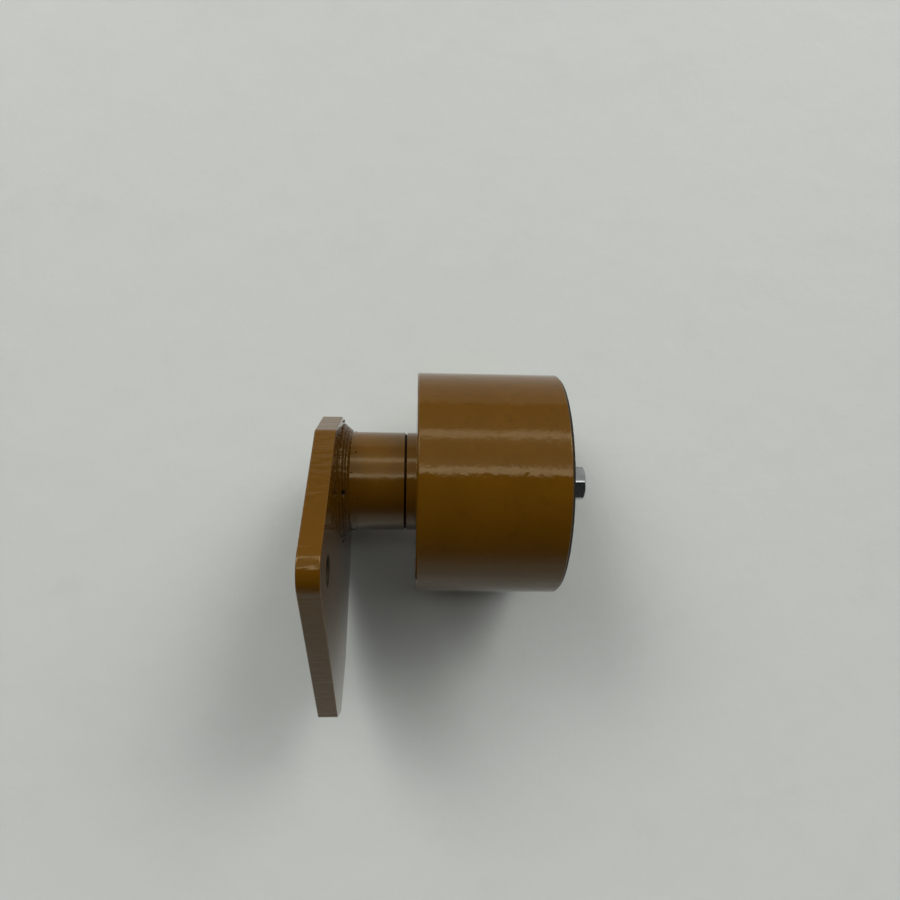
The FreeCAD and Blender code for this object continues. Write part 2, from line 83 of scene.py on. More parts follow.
TREAD_R = radius_of("roller_shell")
COLLAR_R = radius_of("hub_collar")
SEAL_BORE_R = radius_of("turning_toric_ring")
HOUSING_R = radius_of("inboard_outer_race")
COVER_R = radius_of("end_cover")
PLATE_THICK = span_of("mounting_plate")[1]
COLLAR_END = span_of("hub_collar")[1]
NECK_END, SHELL_END = span_of("roller_shell")
INBOARD_SEAT = span_of("inboard_outer_race")[0]
COVER_SEAT = span_of("end_cover")[0]
WELD_R = radius_of("front_weld")
WELD_END = span_of("front_weld")[1]
FLOOR_Z = cad_low.z


def shell_face():
    """Place of the shell's inner face: the lowest y among the vertices close to the tread."""
    vertices = frame["nodes"]["roller_shell"].data.vertices
    near_tread = [v.co.y for v in vertices if math.hypot(v.co.x, v.co.z) > TREAD_R - 1.2 * MM]
    return min(near_tread)


SHELL_FACE = shell_face()


def bolt_hole_centres():
    """Centres of the plate's bolt holes in (x, z), from the boundary loops of its face."""
    centres = []
    for loop in face_loops("mounting_plate", PLATE_THICK)[1:]:
        points = [Vector(point) for point in loop]
        centre = sum(points, Vector((0, 0))) / len(points)
        if centre.length > 1 * MM:
            centres.append(centre)
    return centres


# ---------------------------------------------------------------- materials

# colour sockets of the mix node, which has several sockets of each name
MIX_A, MIX_B, MIX_RESULT = 6, 7, 2


class Shader:
    """A node material: one Principled surface with helpers for the textures that drive it."""

    def __init__(self, name, base, roughness, metallic=0.0, ior=1.5, specular=0.5):
        self.material = bpy.data.materials.new(name)
        self.material.use_nodes = True
        self.tree = self.material.node_tree
        self.tree.nodes.clear()
        self.surface = self.add("ShaderNodeBsdfPrincipled")
        output = self.add("ShaderNodeOutputMaterial")
        self.link(self.surface.outputs["BSDF"], output.inputs["Surface"])
        self.surface.inputs["Base Color"].default_value = (*base, 1)
        self.surface.inputs["Roughness"].default_value = roughness
        self.surface.inputs["Metallic"].default_value = metallic
        self.surface.inputs["IOR"].default_value = ior
        self.surface.inputs["Specular IOR Level"].default_value = specular
        self.place = self.add("ShaderNodeTexCoord").outputs["Object"]
        self.heights = []

    def add(self, kind, **settings):
        node = self.tree.nodes.new(kind)
        for name, setting in settings.items():
            setattr(node, name, setting)
        return node

    def link(self, source, target):
        self.tree.links.new(source, target)

    def stretch(self, scale):
        """The object's coordinates scaled along each axis, for streaks."""
        mapping = self.add("ShaderNodeMapping")
        mapping.inputs["Scale"].default_value = scale
        self.link(self.place, mapping.inputs["Vector"])
        return mapping.outputs["Vector"]

    def axis_distance(self, x=0.0, z=0.0):
        """Distance from an axis parallel to Y."""
        moved = self.add("ShaderNodeVectorMath", operation="SUBTRACT")
        moved.inputs[1].default_value = (x, 0, z)
        self.link(self.place, moved.inputs[0])
        flat = self.add("ShaderNodeVectorMath", operation="MULTIPLY")
        flat.inputs[1].default_value = (1, 0, 1)
        self.link(moved.outputs["Vector"], flat.inputs[0])
        length = self.add("ShaderNodeVectorMath", operation="LENGTH")
        self.link(flat.outputs["Vector"], length.inputs[0])
        return length.outputs["Value"]

    def along(self):
        """Place along the roller axis."""
        parts = self.add("ShaderNodeSeparateXYZ")
        self.link(self.place, parts.inputs["Vector"])
        return parts.outputs["Y"]

    def noise(self, size, detail, rough=0.55, place=None):
        """Noise of the given feature size in metres."""
        node = self.add("ShaderNodeTexNoise")
        node.inputs["Scale"].default_value = 1 / size
        node.inputs["Detail"].default_value = detail
        node.inputs["Roughness"].default_value = rough
        self.link(place or self.place, node.inputs["Vector"])
        return node.outputs["Fac"]

    def spots(self, size):
        """Distance from scattered points, in cells of the given size in metres."""
        node = self.add("ShaderNodeTexVoronoi")
        node.inputs["Scale"].default_value = 1 / size
        node.inputs["Randomness"].default_value = 1
        self.link(self.place, node.inputs["Vector"])
        return node.outputs["Distance"]

    def remap(self, value, low, high, to_low=0.0, to_high=1.0):
        """Smooth step between two values."""
        node = self.add("ShaderNodeMapRange", clamp=True, interpolation_type="SMOOTHSTEP")
        self.link(value, node.inputs["Value"])
        for name, number in (("From Min", low), ("From Max", high), ("To Min", to_low), ("To Max", to_high)):
            node.inputs[name].default_value = number
        return node.outputs["Result"]

    def math(self, operation, first, second):
        node = self.add("ShaderNodeMath", operation=operation)
        for socket, item in zip(node.inputs, (first, second)):
            if isinstance(item, (int, float)):
                socket.default_value = item
            else:
                self.link(item, socket)
        return node.outputs["Value"]

    def mix(self, factor, first, second):
        """Colour mix; each colour is a socket or a linear RGB triple."""
        node = self.add("ShaderNodeMix", data_type="RGBA")
        self.link(factor, node.inputs["Factor"])
        for socket, item in ((node.inputs[MIX_A], first), (node.inputs[MIX_B], second)):
            if isinstance(item, tuple):
                socket.default_value = (*item, 1)
            else:
                self.link(item, socket)
        return node.outputs[MIX_RESULT]

    def height(self, value, depth):
        """Add a relief: value 0..1 times depth in metres."""
        self.heights.append(self.math("MULTIPLY", value, depth))

    def finish(self, colour=None, roughness=None):
        """Join the reliefs into one bump and link what varies."""
        if self.heights:
            total = self.heights[0]
            for more in self.heights[1:]:
                total = self.math("ADD", total, more)
            bump = self.add("ShaderNodeBump")
            bump.inputs["Strength"].default_value = 1
            bump.inputs["Distance"].default_value = 1
            self.link(total, bump.inputs["Height"])
            self.link(bump.outputs["Normal"], self.surface.inputs["Normal"])
        for socket, name in ((colour, "Base Color"), (roughness, "Roughness")):
            if socket is not None:
                self.link(socket, self.surface.inputs[name])
        return self.material


OCHRE = (0.085, 0.0352, 0.0018)
# dark ochre: random blotches in all the enamel, and the weld's whole tint as painted shade
OCHRE_DARK = (0.057, 0.0228, 0.0014)
DUST = (0.110, 0.064, 0.022)
# near-black colour of painted shade in holes, gaps, creases and the rim chamfer
SHADE_COLOUR = (0.006, 0.0045, 0.0035)
NIB = (0.025, 0.013, 0.005)
NIB_SPACING = 11.5 * MM
# orange peel as (feature size, depth, roughness of the noise): dimples, fine grain, long waves
PEEL = ((4.2 * MM, 0.1 * MM, 0.5), (1.3 * MM, 0.012 * MM, 0.5), (26 * MM, 0.18 * MM, 0.4))
SHADE_ROUGHNESS = 0.7
GLOSS = 0.36
GLOSS_TINT = (1.0, 0.84, 0.54)
BLUR_SPREAD = 0.03


def enamel(name, peel=1.0, painted_shade=None, tint=OCHRE, gloss=GLOSS, blur=0.09):
    """Glossy ochre enamel with orange peel and nibs; its mask function gives the places painted dark and dull as
    shade.
    """
    shader = Shader(name, tint, blur, specular=gloss)
    shader.surface.inputs["Specular Tint"].default_value = (*GLOSS_TINT, 1)
    cloudy = shader.remap(shader.noise(35 * MM, 4), 0.35, 0.7)
    colour = shader.mix(cloudy, tint, tuple(1.14 * channel for channel in tint))
    blotches = shader.remap(shader.noise(9 * MM, 5, 0.65), 0.5, 0.78)
    colour = shader.mix(shader.math("MULTIPLY", blotches, 0.45), colour, OCHRE_DARK)
    dusty = shader.remap(shader.noise(1.6 * MM, 6, 0.7), 0.56, 0.82)
    colour = shader.mix(shader.math("MULTIPLY", dusty, 0.2), colour, DUST)
    nibs = shader.remap(shader.spots(NIB_SPACING), 0.02, 0.045, 1, 0)
    colour = shader.mix(shader.math("MULTIPLY", nibs, 0.85), colour, NIB)
    roughness = shader.remap(shader.noise(6 * MM, 5, 0.6), 0.3, 0.75,
                             blur - BLUR_SPREAD, blur + BLUR_SPREAD)
    # painted shade: the masked places are painted near black and dull
    if painted_shade:
        mask = painted_shade(shader)
        colour = shader.mix(mask, colour, SHADE_COLOUR)
        roughness = shader.math("MAXIMUM", roughness, shader.math("MULTIPLY", mask, SHADE_ROUGHNESS))
    for size, depth, rough in PEEL:
        shader.height(shader.noise(size, 2, rough), depth * peel)
    shader.height(nibs, 0.05 * MM)
    return shader.finish(colour=colour, roughness=roughness)


BOLT_HOLE_R = 7 * MM
MASK_EDGE = 0.25 * MM
SEAM_EDGE = 0.1 * MM
RIM = 1.6 * MM


def bolt_hole_shade_mask(shader):
    """Mask of the plate's bolt hole walls, painted dark as the shade inside the holes."""
    radius = BOLT_HOLE_R + MASK_EDGE
    nearest = None
    for hole in bolt_hole_centres():
        distance = shader.axis_distance(hole.x, hole.y)
        nearest = distance if nearest is None else shader.math("MINIMUM", nearest, distance)
    return shader.remap(nearest, radius, radius + MASK_EDGE, 1, 0)


def crease_shade_mask(shader):
    """Mask of the sharp valleys between weld ripples, painted dark as the shade in the creases."""
    return shader.remap(shader.add("ShaderNodeNewGeometry").outputs["Pointiness"], 0.455, 0.49, 0.9, 0)


def weld_crease_and_pit_shade_mask(shader):
    """Mask of the creases and of the one open pit in the weld, both painted dark as shade."""
    outward = Vector((math.sin(PIT_TURN), 0, math.cos(PIT_TURN)))
    offset = shader.add("ShaderNodeVectorMath", operation="DISTANCE")
    along = Vector((0, PLATE_THICK + PIT_OFFSET, 0))
    offset.inputs[1].default_value = outward * (COLLAR_R + PIT_OFFSET) + along
    shader.link(shader.place, offset.inputs[0])
    pit = shader.remap(offset.outputs["Value"], PIT_R, 1.5 * PIT_R, 1, 0)
    return shader.math("MAXIMUM", crease_shade_mask(shader), pit)


def rim_and_seam_shade_mask(shader):
    """Mask of the chamfer at the tread's free end and of the seam, both painted dark as shade."""
    inside = shader.remap(shader.axis_distance(), TREAD_R - 0.35 * MM, TREAD_R - 0.2 * MM, 1, 0)
    beyond = shader.remap(shader.along(), SHELL_END - RIM - 0.15 * MM, SHELL_END - RIM + 0.1 * MM)
    outside = shader.remap(shader.axis_distance(), TREAD_R - RIM - 0.6 * MM, TREAD_R - RIM - 0.1 * MM)
    rim = shader.math("MULTIPLY", shader.math("MULTIPLY", inside, beyond), outside)
    return shader.math("MAXIMUM", rim, seam_shade_mask(shader))


def seam_shade_mask(shader):
    """Mask of the walls inside the gap between the collar and the roller's neck, painted dark as the shade in
    the gap.
    """
    near = shader.remap(shader.along(), NECK_END + SEAM_EDGE, NECK_END + SEAM_EDGE + MASK_EDGE, 1, 0)
    past = shader.remap(shader.along(), COLLAR_END - SEAM_EDGE - MASK_EDGE, COLLAR_END - SEAM_EDGE)
    deep = shader.remap(shader.axis_distance(), COLLAR_R - 0.45 * MM, COLLAR_R - 0.3 * MM, 1, 0)
    return shader.math("MULTIPLY", shader.math("MULTIPLY", near, past), deep)


def bare_steel(name, base, roughness, size=0.9 * MM, turning=(1, 1, 1), depth=0.006 * MM):
    """Steel with machining lines stretched along the given axes and a slight bloom."""
    shader = Shader(name, base, roughness, metallic=1.0, ior=2.5)
    lines = shader.noise(size, 3, 0.6, shader.stretch(turning))
    bloom = shader.remap(shader.noise(7 * MM, 4, 0.6), 0.35, 0.75)
    darker = tuple(0.62 * channel for channel in base)
    colour = shader.mix(shader.math("MULTIPLY", bloom, 0.6), base, darker)
    shader.height(lines, depth)
    rough = shader.math("ADD", shader.math("MULTIPLY", lines, 0.16), roughness - 0.08)
    return shader.finish(colour=colour, roughness=rough)


def rubber(name):
    shader = Shader(name, (0.012, 0.012, 0.013), 0.62)
    grain = shader.noise(0.5 * MM, 4, 0.7)
    shader.height(grain, 0.01 * MM)
    return shader.finish(roughness=shader.remap(grain, 0.3, 0.7, 0.5, 0.72))


# ---------------------------------------------------------------- mesh helpers

def piece_from(name, vertices, faces, body, material, replaced=()):
    mesh = bpy.data.meshes.new(name)
    mesh.from_pydata([tuple(v) for v in vertices], [], faces)
    mesh.validate()
    work = bmesh.new()
    work.from_mesh(mesh)
    bmesh.ops.recalc_face_normals(work, faces=work.faces)
    work.to_mesh(mesh)
    work.free()
    mesh.polygons.foreach_set("use_smooth", [True] * len(mesh.polygons))
    piece = bpy.data.objects.new(name, mesh)
    bpy.context.collection.objects.link(piece)
    return dress(piece, body, material, replaced)


def dress(piece, body, material, replaced=()):
    """Give a piece its material and body, and hide the CAD nodes it stands for."""
    piece.data.materials.clear()
    piece.data.materials.append(material)
    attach(piece, body)
    if replaced:
        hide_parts(*replaced)
    return piece


ROUNDING_STEPS = 5
SUPPORT = 0.3 * MM
MOST_OF_EDGE = 0.45


def round_profile(corners):
    """Closed section outline with every corner rounded: corners are (radius, along, rounding) in metres."""
    outline = []
    count = len(corners)
    for index, (radius, along, rounding) in enumerate(corners):
        here = Vector((radius, along))
        before = Vector(corners[index - 1][:2])
        after = Vector(corners[(index + 1) % count][:2])
        back, ahead = before - here, after - here
        room = min(back.length, ahead.length)
        size = min(rounding, MOST_OF_EDGE * room)
        if size <= 0:
            outline.append(here)
            continue
        turn = math.pi - back.angle(ahead)
        reach = min(size * math.tan(turn / 2), MOST_OF_EDGE * room)
        back.normalize()
        ahead.normalize()
        start, end = here + back * reach, here + ahead * reach
        hold = min(SUPPORT, 0.2 * (room - reach))
        outline.append(start + back * hold)
        for step in range(ROUNDING_STEPS + 1):
            share = step / ROUNDING_STEPS
            # quadratic through the corner, close to an arc for these small roundings
            point = start * (1 - share) ** 2 + here * 2 * share * (1 - share) + end * share ** 2
            outline.append(point)
        outline.append(end + ahead * hold)
    return outline


def lathe(name, corners, body, material, replaced=()):
    """Closed body of revolution about Y from a rounded section."""
    outline = round_profile(corners)
    count = len(outline)
    vertices = []
    for step in range(SEGMENTS):
        angle = 2 * math.pi * step / SEGMENTS
        for point in outline:
            vertices.append((point.x * math.cos(angle), point.y, point.x * math.sin(angle)))
    faces = []
    for step in range(SEGMENTS):
        first, second = step * count, ((step + 1) % SEGMENTS) * count
        for index in range(count):
            following = (index + 1) % count
            faces.append((first + index, first + following, second + following, second + index))
    return piece_from(name, vertices, faces, body, material, replaced)


def face_loops(node, along):
    """Boundary loops of a CAD node's flat face at one place along Y, as lists of (x, z)."""
    mesh = frame["nodes"][node].data
    seen = {}
    for polygon in mesh.polygons:
        points = [mesh.vertices[index].co for index in polygon.vertices]
        if max(abs(point.y - along) for point in points) > 0.01 * MM:
            continue
        keys = [(round(point.x, 7), round(point.z, 7)) for point in points]
        for index, key in enumerate(keys):
            seen[key, keys[(index + 1) % len(keys)]] = True
    border = {first: second for first, second in seen if (second, first) not in seen}
    loops = []
    while border:
        start = next(iter(border))
        loop = [start]
        following = border.pop(start)
        while following != start:
            loop.append(following)
            following = border.pop(following)
        loops.append(loop)
    return sorted(loops, key=lambda loop: -loop_length(loop))


def loop_length(loop):
    return sum(math.dist(loop[index - 1], loop[index]) for index in range(len(loop)))


def resample(loop, spacing):
    """Points at even spacing round a closed loop."""
    total = loop_length(loop)
    count = round(total / spacing)
    points = []
    travelled = 0.0
    target = 0.0
    for index in range(len(loop)):
        first, second = Vector(loop[index]), Vector(loop[(index + 1) % len(loop)])
        length = (second - first).length
        while target < travelled + length and len(points) < count:
            points.append(first.lerp(second, (target - travelled) / length))
            target += total / count
        travelled += length
    return points


# ---------------------------------------------------------------- mounting plate

def inward_offset(points, distance):
    """A closed loop moved towards its inside by a distance, for a loop of Vectors in (x, z)."""
    area = sum(a.x * b.y - b.x * a.y for a, b in zip(points, points[1:] + points[:1]))
    side = 1 if area > 0 else -1
    moved = []
    for index, point in enumerate(points):
        tangent = (points[(index + 1) % len(points)] - points[index - 1]).normalized()
        moved.append(point + Vector((-tangent.y, tangent.x)) * side * distance)
    return moved


def drag_depth(position, share):
    """Depth of the flame-cut drag lines at a place along the edge and through the thickness."""
    lagged = position + 1.4 * MM * share * share
    coarse = noise.noise(Vector((lagged / (3.1 * MM), share * 0.7, 2.5)))
    fine = noise.noise(Vector((lagged / (0.95 * MM), share * 0.5, 7.1)))
    gouge = max(0.0, noise.noise(Vector((lagged / (11 * MM), share * 0.3, 11.3))) - 0.35)
    return (0.10 * coarse + 0.065 * fine + 0.4 * gouge) * MM


def ring_vertices(points, along):
    return [Vector((point.x, along, point.y)) for point in points]


def circle_points(centre, radius, count):
    return [centre + Vector((math.cos(2 * math.pi * step / count), math.sin(2 * math.pi * step / count)))
            * radius for step in range(count)]


def wall_rings(rings):
    """Faces between consecutive rings of equal length, as index lists from zero."""
    count = len(rings[0])
    faces = []
    for level in range(len(rings) - 1):
        for index in range(count):
            following = (index + 1) % count
            low, high = level * count, (level + 1) * count
            faces.append((low + index, low + following, high + following, high + index))
    return faces


EDGE_SPACING = 0.55 * MM
BREAK_SIZE = 0.55 * MM
WALL_STEPS = 9
HOLE_POINTS = 72
HOLE_BREAK = 0.4 * MM
HOLE_MOUTH = 0.5 * MM


def make_plate(material):
    """The flame-cut plate: outline and holes from the CAD node, broken edges, drag lines along its rim."""
    outline, *holes = face_loops("mounting_plate", PLATE_THICK)
    edge = resample(outline, EDGE_SPACING)
    spacing = loop_length(outline) / len(edge)
    levels = []
    for share in (0.0, 0.18, 0.5, 0.82, 1.0):
        turn = share * math.pi / 2
        levels.append((BREAK_SIZE * (1 - math.sin(turn)), BREAK_SIZE * (1 - math.cos(turn))))
    wall = [(0.0, BREAK_SIZE + (PLATE_THICK - 2 * BREAK_SIZE) * step / WALL_STEPS)
            for step in range(1, WALL_STEPS)]
    far = [(inset, PLATE_THICK - along) for inset, along in reversed(levels)]
    rings = []
    for inset, along in levels + wall + far:
        share = along / PLATE_THICK
        ring = inward_offset(edge, inset) if inset else list(edge)
        inner = inward_offset(edge, 1 * MM)
        moved = []
        for index, point in enumerate(ring):
            into = (inner[index] - edge[index]).normalized()
            depth = abs(drag_depth(index * spacing, share)) * (1 - inset / BREAK_SIZE)
            moved.append(point + into * depth)
        rings.append(ring_vertices(moved, along))
    vertices = [vertex for ring in rings for vertex in ring]
    faces = wall_rings(rings)
    caps = {0: [list(range(len(edge)))], 1: [list(range(len(vertices) - len(edge), len(vertices)))]}
    for hole in holes:
        points = [Vector(point) for point in hole]
        centre = sum(points, Vector((0, 0))) / len(points)
        radius = sum((point - centre).length for point in points) / len(points)
        on_axis = centre.length < 1 * MM
        groove = radius_of("back_weld") if on_axis else radius + HOLE_MOUTH
        groove_end = span_of("back_weld")[1] if on_axis else HOLE_MOUTH
        profile = [(groove, 0), (radius, groove_end), (radius, PLATE_THICK - HOLE_BREAK),
                   (radius + HOLE_BREAK, PLATE_THICK)]
        hole_rings = [ring_vertices(circle_points(centre, size, HOLE_POINTS), along)
                      for size, along in profile]
        start = len(vertices)
        vertices += [vertex for ring in hole_rings for vertex in ring]
        faces += [tuple(start + index for index in face) for face in wall_rings(hole_rings)]
        caps[0].append(list(range(start, start + HOLE_POINTS)))
        caps[1].append(list(range(len(vertices) - HOLE_POINTS, len(vertices))))
    piece = piece_from("plate", vertices, faces, "mount", material, ("mounting_plate",))
    fill_caps(piece, caps)
    return piece


def fill_caps(piece, caps):
    """Close the two flat faces of a plate between its outline and its holes."""
    work = bmesh.new()
    work.from_mesh(piece.data)
    work.verts.ensure_lookup_table()
    for loops in caps.values():
        edges = []
        for loop in loops:
            for index, first in enumerate(loop):
                pair = (work.verts[first], work.verts[loop[(index + 1) % len(loop)]])
                edges.append(work.edges.get(pair) or work.edges.new(pair))
        made = bmesh.ops.triangle_fill(work, use_beauty=True, use_dissolve=False, edges=edges)
        for face in made["geom"]:
            if isinstance(face, bmesh.types.BMFace):
                face.smooth = False
    bmesh.ops.recalc_face_normals(work, faces=work.faces)
    work.to_mesh(piece.data)
    work.free()


# ---------------------------------------------------------------- weld

PASSES = 3
WELD_RISE = WELD_R - COLLAR_R
WELD_LEG = WELD_END - PLATE_THICK
PIT_TURN = math.radians(10.5)
PIT_SHARE = 0.42
PIT_R = 1.0 * MM
PIT_DEPTH = 2.8 * MM
PIT_OFFSET = 2.0 * MM
RIPPLE_SPACING = 1.25 * MM
CROWN_HEIGHT = 0.75 * MM
CREASE_DEPTH = 0.55 * MM
RIPPLE_DEPTH = 0.06 * MM
UNEVEN_DEPTH = 0.18 * MM
WELD_AROUND = 1080
WELD_ACROSS = 42
WELD_ROOT = 0.3 * MM


def weld_reach(angle, share):
    """Distance of the weld's skin from the root corner; share is 0 at the plate's toe and 1 at the collar's."""
    turn = share * math.pi / 2
    straight = 1 / (math.cos(turn) / WELD_RISE + math.sin(turn) / WELD_LEG)
    lane = share * PASSES
    number = min(PASSES - 1, int(lane))
    across = lane - number - 0.5
    wander = 0.26 * noise.noise(Vector((angle * 9, number * 3.7, 1.3)))
    across = max(-0.5, min(0.5, across + wander * (1 - 4 * across * across)))
    crown = math.sqrt(max(0.0, 1 - (1.86 * across) ** 2))
    arc_length = angle * (COLLAR_R + WELD_RISE * 0.5)
    phase = arc_length / RIPPLE_SPACING + 1.1 * across * across * 4 + number * 0.37
    ripple = 0.5 + 0.5 * math.cos(2 * math.pi * phase)
    uneven = noise.noise(Vector((angle * 14, share * 3, 5.9)))
    reach = straight * 0.96 + CROWN_HEIGHT * crown - CREASE_DEPTH
    reach += RIPPLE_DEPTH * ripple * crown + UNEVEN_DEPTH * uneven
    pit = math.hypot((angle - PIT_TURN) * (COLLAR_R + 3 * MM), (share - PIT_SHARE) * 6 * MM)
    return reach - PIT_DEPTH * math.exp(-(pit / PIT_R) ** 2)


def make_weld(material):
    """Three weld passes with ripples, ragged toes and one pit."""
    vertices, faces = [], []
    ring_size = WELD_ACROSS + 3
    for step in range(WELD_AROUND):
        angle = 2 * math.pi * step / WELD_AROUND
        outward = Vector((math.sin(angle), 0, math.cos(angle)))
        signed = angle if angle < math.pi else angle - 2 * math.pi
        for index in range(WELD_ACROSS + 1):
            share = index / WELD_ACROSS
            turn = share * math.pi / 2
            reach = weld_reach(signed, share)
            radius = COLLAR_R + max(-0.1 * MM, reach * math.cos(turn))
            along = PLATE_THICK + max(-0.05 * MM, reach * math.sin(turn))
            vertices.append(outward * radius + Vector((0, along, 0)))
        vertices.append(outward * (COLLAR_R - WELD_ROOT) + Vector((0, vertices[-1].y, 0)))
        vertices.append(outward * (COLLAR_R - WELD_ROOT) + Vector((0, PLATE_THICK - 0.2 * MM, 0)))
    for step in range(WELD_AROUND):
        first, second = step * ring_size, ((step + 1) % WELD_AROUND) * ring_size
        for index in range(ring_size):
            following = (index + 1) % ring_size
            faces.append((first + index, first + following, second + following, second + index))
    return piece_from("weld_passes", vertices, faces, "mount", material, ("front_weld",))


DROPLETS = 46
DROPLET_SIZES = (0.22, 0.62)


def make_spatter(material):
    """Droplets beside the weld, as low domes on the collar and the plate."""
    dice = random.Random(4)
    work = bmesh.new()
    for _ in range(DROPLETS):
        angle = dice.uniform(0, 2 * math.pi)
        outward = Vector((math.sin(angle), 0, math.cos(angle)))
        size = dice.uniform(*DROPLET_SIZES) * MM
        if dice.random() < 0.5:
            centre = outward * COLLAR_R + Vector((0, WELD_END + dice.expovariate(1 / 2.2) * MM, 0))
        else:
            centre = outward * (WELD_R + dice.expovariate(1 / 2.6) * MM) + Vector((0, PLATE_THICK, 0))
        drop = bmesh.ops.create_icosphere(work, subdivisions=2, radius=size)
        for vertex in drop["verts"]:
            vertex.co *= 1 + 0.2 * noise.noise(vertex.co / (0.5 * MM))
        bmesh.ops.translate(work, verts=drop["verts"], vec=centre)
    mesh = bpy.data.meshes.new("spatter")
    work.to_mesh(mesh)
    work.free()
    mesh.polygons.foreach_set("use_smooth", [True] * len(mesh.polygons))
    piece = bpy.data.objects.new("spatter", mesh)
    bpy.context.collection.objects.link(piece)
    return dress(piece, "mount", material)


# ---------------------------------------------------------------- turned pieces

GROOVE_PLAY = 0.2 * MM
SEAM_CORNER = 0.2 * MM
INNER_RIM = 0.8 * MM
PLUG_SHANK_R = radius_of("plug_washer") * 10 / 18


def make_collar(material):
    start, end = span_of("hub_collar")
    inner = radius_of("stub_axle")
    mouth = span_of("fixed_seal_ring")[0]
    return lathe("collar", [
        (inner, start, 0), (COLLAR_R, start, 0.2 * MM), (COLLAR_R, end - SEAM_CORNER, 0.1 * MM),
        (COLLAR_R - SEAM_CORNER, end, 0.1 * MM), (SEAL_BORE_R, end, 0.2 * MM),
        (SEAL_BORE_R, mouth, 0.2 * MM),
        (inner, mouth, 0)], "mount", material, ("hub_collar",))


def make_seam_shade_fill(material):
    """Dark filler in the seam, on the fixed side, up to a little below the surface: painted shade inside the
    gap.
    """
    deep = radius_of("fixed_seal_ring")
    near = COLLAR_END - 0.05 * MM
    far = NECK_END - 0.12 * MM
    top = COLLAR_R - 0.8 * MM
    return lathe("seam_shade_fill", [(deep, near, 0), (top, near, 0.1 * MM), (top, far, 0.2 * MM), (deep, far, 0)],
                 "mount", material)


def make_shell(material):
    lip = radius_of("fixed_seal_ring") - 2 * MM
    floor = span_of("turning_seal_ring")[1]
    ring_start, ring_end = span_of("cover_snap_ring")
    groove = radius_of("cover_snap_ring") + GROOVE_PLAY
    bearing_ring_start, bearing_ring_end = span_of("bearing_snap_ring")
    bearing_groove = radius_of("bearing_snap_ring") + GROOVE_PLAY
    bore = COVER_R + 0.05 * MM
    return lathe("tread_shell", [
        (SEAL_BORE_R, NECK_END, 0.2 * MM), (COLLAR_R - SEAM_CORNER, NECK_END, 0.1 * MM),
        (COLLAR_R, NECK_END + SEAM_CORNER, 0.1 * MM), (COLLAR_R, SHELL_FACE, 0.25 * MM),
        (TREAD_R - INNER_RIM, SHELL_FACE, 0.35 * MM), (TREAD_R, SHELL_FACE + INNER_RIM, 0.35 * MM),
        (TREAD_R, SHELL_END - RIM, 0.3 * MM), (TREAD_R - RIM, SHELL_END, 0.3 * MM),
        (bore, SHELL_END, 0.5 * MM), (bore, ring_end, 0.15 * MM),
        (groove, ring_end, 0), (groove, ring_start, 0),
        (bore, ring_start, 0.1 * MM), (bore, COVER_SEAT, 0), (HOUSING_R, COVER_SEAT, 0.2 * MM),
        (HOUSING_R, bearing_ring_end, 0), (bearing_groove, bearing_ring_end, 0),
        (bearing_groove, bearing_ring_start, 0), (HOUSING_R, bearing_ring_start, 0),
        (HOUSING_R, INBOARD_SEAT, 0),
        (lip, INBOARD_SEAT, 0.2 * MM), (lip, floor, 0.2 * MM), (SEAL_BORE_R, floor, 0),
    ], "roller", material, ("roller_shell",))


def make_plug(material):
    """Hex head with rounded corners, bevelled on top, over a plain shank."""
    seat = span_of("plug_washer")[1]
    tip, top = span_of("filler_plug")
    mesh = frame["nodes"]["filler_plug"].data
    far = max(mesh.vertices, key=lambda vertex: math.hypot(vertex.co.x, vertex.co.z))
    corner_turn = math.atan2(far.co.x, far.co.z)
    corner = math.hypot(far.co.x, far.co.z)
    flat = corner * math.cos(math.radians(30))
    bevel_r = 0.955 * flat
    shank = PLUG_SHANK_R
    around = 180

    def hex_radius(angle):
        local = (angle - corner_turn) % (math.pi / 3) - math.pi / 6
        return min(flat / math.cos(local), corner - 0.22 * MM)

    def level(angle, radius_share, height):
        return Vector((math.sin(angle) * radius_share, height, math.cos(angle) * radius_share))

    rings = []
    for name in ("tip", "tip_side", "shank", "seat_in", "seat", "under", "wall", "wall_top", "bevel", "rim",
                 "face", "dish", "middle"):
        ring = []
        for step in range(around):
            angle = 2 * math.pi * step / around
            full = hex_radius(angle)
            drop = (full - bevel_r) * math.tan(math.radians(30))
            radius, height = {
                "tip": (shank - 1 * MM, tip), "tip_side": (shank, tip + 1 * MM), "shank": (shank, seat),
                "seat_in": (shank + 0.3 * MM, seat), "seat": (full - 0.25 * MM, seat),
                "under": (full, seat + 0.25 * MM), "wall": (full, seat + 1.4 * MM),
                "wall_top": (full, top - drop - 0.12 * MM), "bevel": (full - 0.12 * MM, top - drop + 0.02 * MM),
                "rim": (bevel_r, top - 0.1 * MM), "face": (bevel_r - 0.25 * MM, top),
                "dish": (bevel_r * 0.8, top), "middle": (bevel_r * 0.4, top - 0.15 * MM)}[name]
            ring.append(level(angle, radius, height))
        rings.append(ring)
    vertices = [vertex for ring in rings for vertex in ring]
    faces = wall_rings(rings)
    faces.append(tuple(range(around)))
    faces.append(tuple(range(len(vertices) - around, len(vertices))))
    piece = piece_from("hex_plug", vertices, faces, "roller", material, ("filler_plug",))
    sharpen(piece, 22)
    return piece


def sharpen(piece, degrees):
    """Mark edges sharper than an angle, so that flats and bevels shade as separate faces."""
    work = bmesh.new()
    work.from_mesh(piece.data)
    for edge in work.edges:
        if len(edge.link_faces) == 2:
            edge.smooth = edge.calc_face_angle() < math.radians(degrees)
    work.to_mesh(piece.data)
    work.free()


